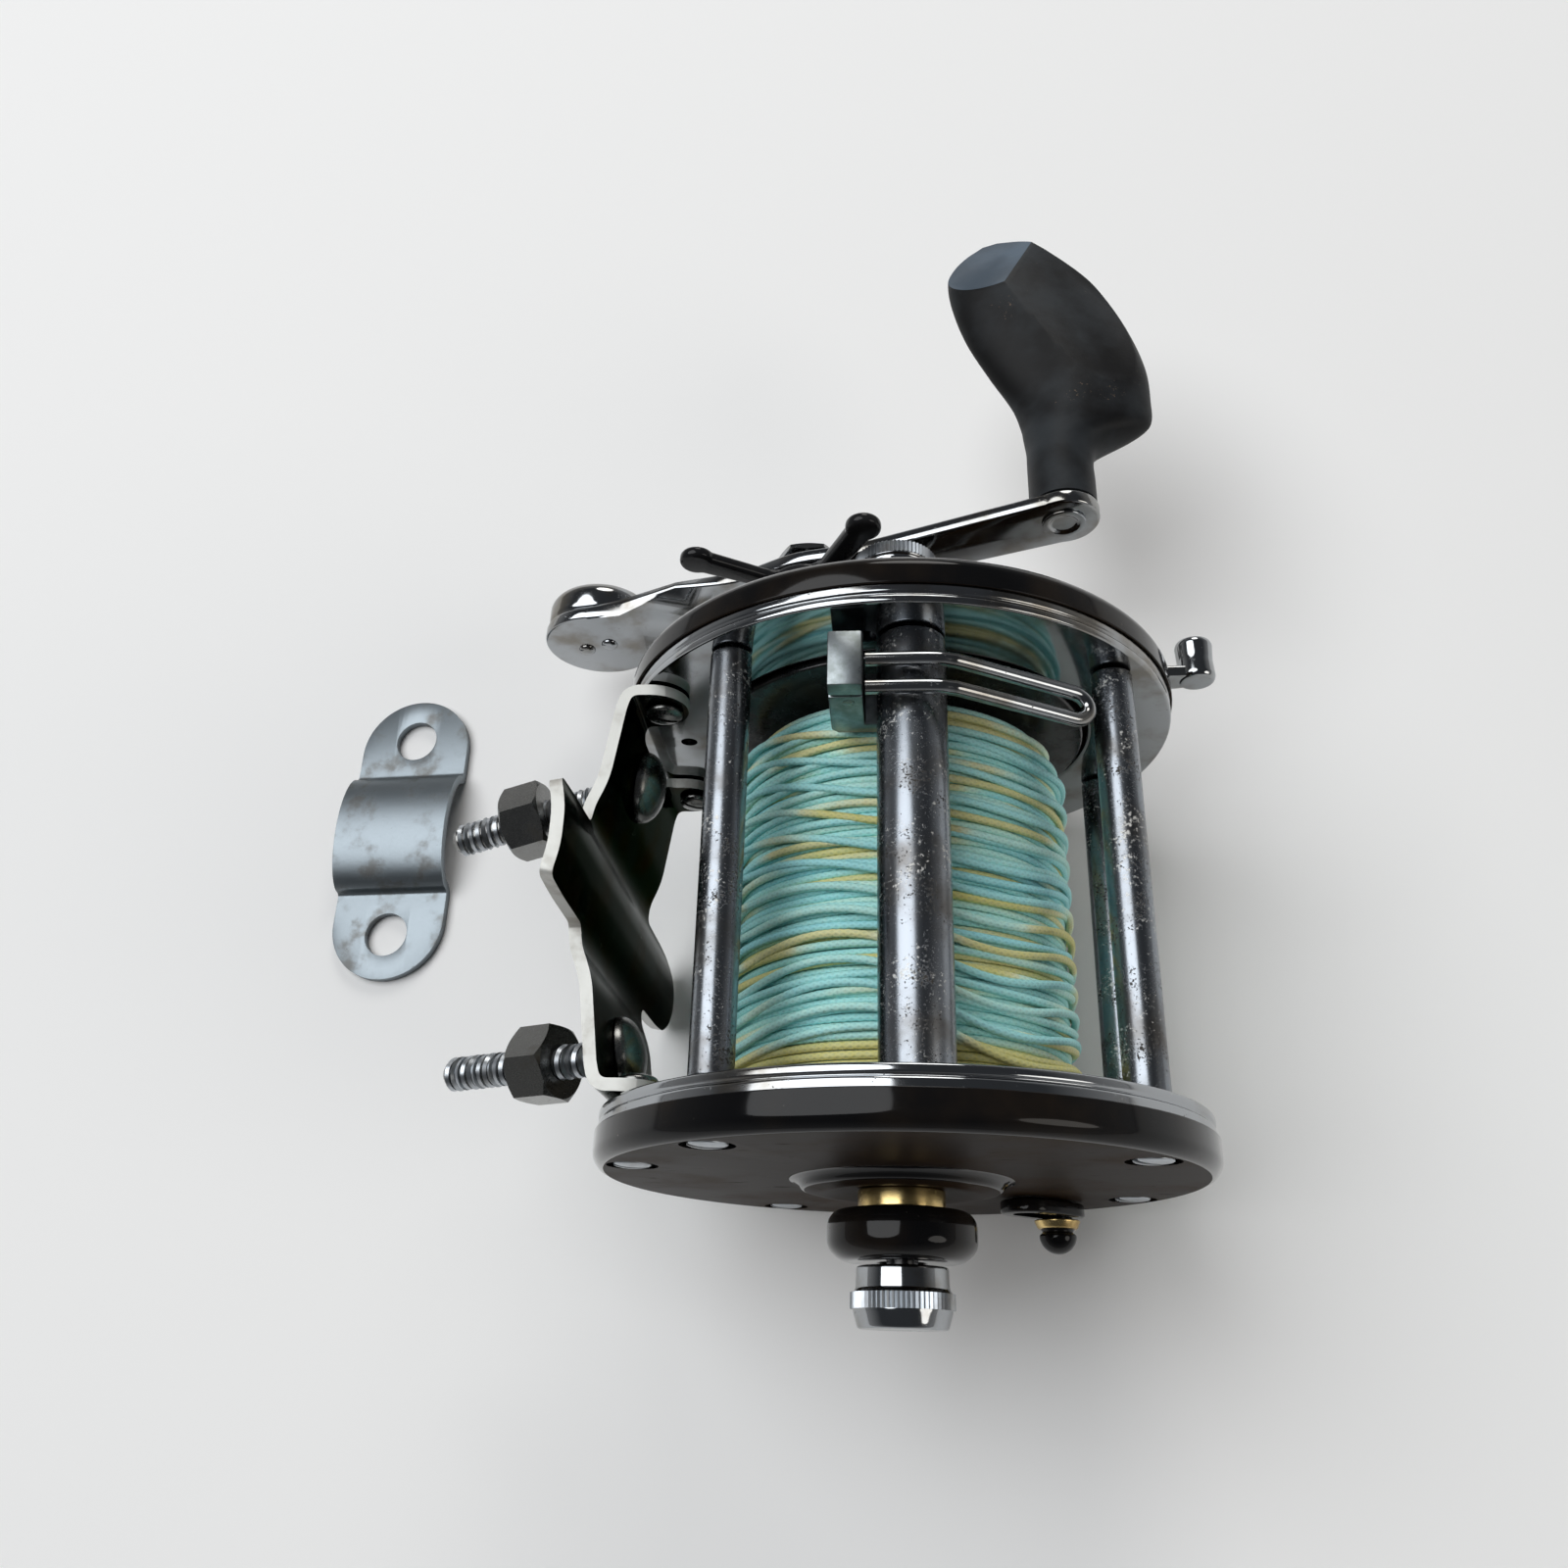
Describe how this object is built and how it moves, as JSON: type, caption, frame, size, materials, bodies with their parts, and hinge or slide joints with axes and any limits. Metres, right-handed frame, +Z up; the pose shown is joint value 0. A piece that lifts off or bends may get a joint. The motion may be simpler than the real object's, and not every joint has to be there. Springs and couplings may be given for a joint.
{
  "type": "trolling reel",
  "caption": "Level-wind trolling reel on its back: round side plates, wound spool, star drag, counterbalanced crank with paddle grip, rod stand with studs and a loose rod clamp.",
  "frame": {"origin": "on the floor, under the middle of the whole part's box, with the reel lying on its back on its plate rims and its stand's rear end", "axes": "+Y along the spool towards the handle, +X away from the rod stand, +Z up, the reel's line side"},
  "size_m": [0.1368, 0.1564, 0.0709],
  "materials": {
    "chrome": "aged pitted chrome plate",
    "black": "glossy black moulding",
    "grip": "matte black with wear specks",
    "zinc": "bright zinc plate",
    "steel": "grey steel",
    "brass": "plain brass",
    "spool": "dark grey",
    "line": "braided line",
    "line_under": "packed braided line",
    "fibre": "pressed fibre"
  },
  "bodies": {
    "frame": {"bridge": "chrome", "click_bush": "brass", "idler_pin": "steel", "nut_left": "steel", "nut_right": "steel", "plate_left": "black", "plate_right": "black", "post_front_lower": "chrome", "post_front_upper": "chrome", "post_rear_lower": "chrome", "post_rear_upper": "chrome", "post_screw_left_front_lower": "steel", "post_screw_left_front_upper": "steel", "post_screw_left_rear_lower": "steel", "post_screw_left_rear_upper": "steel", "post_screw_right_front_lower": "steel", "post_screw_right_front_upper": "steel", "post_screw_right_rear_lower": "steel", "post_screw_right_rear_upper": "steel", "ring_left": "chrome", "ring_right": "chrome", "stand": "chrome", "stud_left": "zinc", "stud_right": "zinc", "tab_screw_left_front": "steel", "tab_screw_left_rear": "steel", "tab_screw_right_front": "steel", "tab_screw_right_rear": "steel", "worm_shield": "chrome"},
    "spool": {"spool": "spool", "spool_gear": "brass", "line_core": "line_under", "line_winding": "line"},
    "worm": {"worm_shaft": "steel", "worm_gear": "brass"},
    "idler": {"idler_gear": "brass"},
    "carriage": {"carriage_block": "zinc", "carriage_cap": "zinc", "pawl": "brass", "guide_wire": "chrome"},
    "crank": {"crank_sleeve": "steel", "main_gear": "brass", "drag_stack": "fibre", "handle_arm": "chrome", "handle_weight": "chrome", "handle_nut": "chrome", "knob_spindle": "chrome"},
    "star": {"star_drag": "black"},
    "grip_body": {"grip": "grip"},
    "yoke_body": {"yoke": "steel"},
    "pinion_body": {"pinion": "brass"},
    "lever": {"free_spool_lever": "chrome", "lever_peg": "chrome", "lever_pivot": "steel"},
    "click": {"click_button": "black"},
    "left_cap": {"cap_left": "chrome"},
    "right_cap": {"cap_right": "chrome"},
    "clamp": {"rod_clamp": "zinc"}
  },
  "joints": [
    {"name": "crank_turn", "type": "hinge", "parent": "frame", "child": "crank", "pos_m": [0.01358, 0.02445, 0.02776], "axis": [0, 1, 0], "continuous": true},
    {"name": "spool_spin", "type": "hinge", "parent": "frame", "child": "spool", "pos_m": [0.02711, -0.0315, 0.03511], "axis": [0, 1, 0], "continuous": true},
    {"name": "worm_turn", "type": "hinge", "parent": "frame", "child": "worm", "pos_m": [0.03092, -0.0315, 0.06164], "axis": [0, 1, 0], "continuous": true},
    {"name": "idler_turn", "type": "hinge", "parent": "frame", "child": "idler", "pos_m": [0.02888, -0.05965, 0.04743], "axis": [0, 1, 0], "continuous": true},
    {"name": "carriage_travel", "type": "slide", "parent": "frame", "child": "carriage", "axis": [0, 1, 0], "range_m": [-0.0394, 0.0015]},
    {"name": "star_turn", "type": "hinge", "parent": "crank", "child": "star", "pos_m": [0.01358, 0.02235, 0.02776], "axis": [0, 1, 0], "range_deg": [-180, 180]},
    {"name": "grip_spin", "type": "hinge", "parent": "crank", "child": "grip_body", "pos_m": [0.0506, 0.02705, 0.03832], "axis": [0, 1, 0], "continuous": true},
    {"name": "lever_throw", "type": "hinge", "parent": "frame", "child": "lever", "pos_m": [0.0586, -0.00045, 0.03589], "axis": [0, 1, 0], "range_deg": [0, 55]},
    {"name": "yoke_shift", "type": "slide", "parent": "frame", "child": "yoke_body", "axis": [0, 1, 0], "range_m": [0, 0.0016]},
    {"name": "pinion_spin", "type": "hinge", "parent": "yoke_body", "child": "pinion_body", "pos_m": [0.02711, -0.00095, 0.03511], "axis": [0, 1, 0], "continuous": true},
    {"name": "click_shift", "type": "slide", "parent": "frame", "child": "click", "axis": [0.6998, 0, -0.7143], "range_m": [-0.005, 0]},
    {"name": "left_cap_turn", "type": "hinge", "parent": "frame", "child": "left_cap", "pos_m": [0.02711, -0.07255, 0.03511], "axis": [0, 1, 0], "range_deg": [-90, 90]},
    {"name": "right_cap_turn", "type": "hinge", "parent": "frame", "child": "right_cap", "pos_m": [0.02711, 0.01355, 0.03511], "axis": [0, 1, 0], "range_deg": [-90, 90]},
    {"name": "clamp_lift", "type": "slide", "parent": "frame", "child": "clamp", "axis": [0, 0, 1], "range_m": [0, 0.03]}
  ],
  "couplings": [
    {"joint": "spool_spin", "follows": "crank_turn", "ratio": -3},
    {"joint": "pinion_spin", "follows": "crank_turn", "ratio": -3},
    {"joint": "worm_turn", "follows": "crank_turn", "ratio": -1.8},
    {"joint": "idler_turn", "follows": "crank_turn", "ratio": 1.125},
    {"joint": "yoke_shift", "follows": "lever_throw", "m_per_rad": 0.0016668}
  ]
}
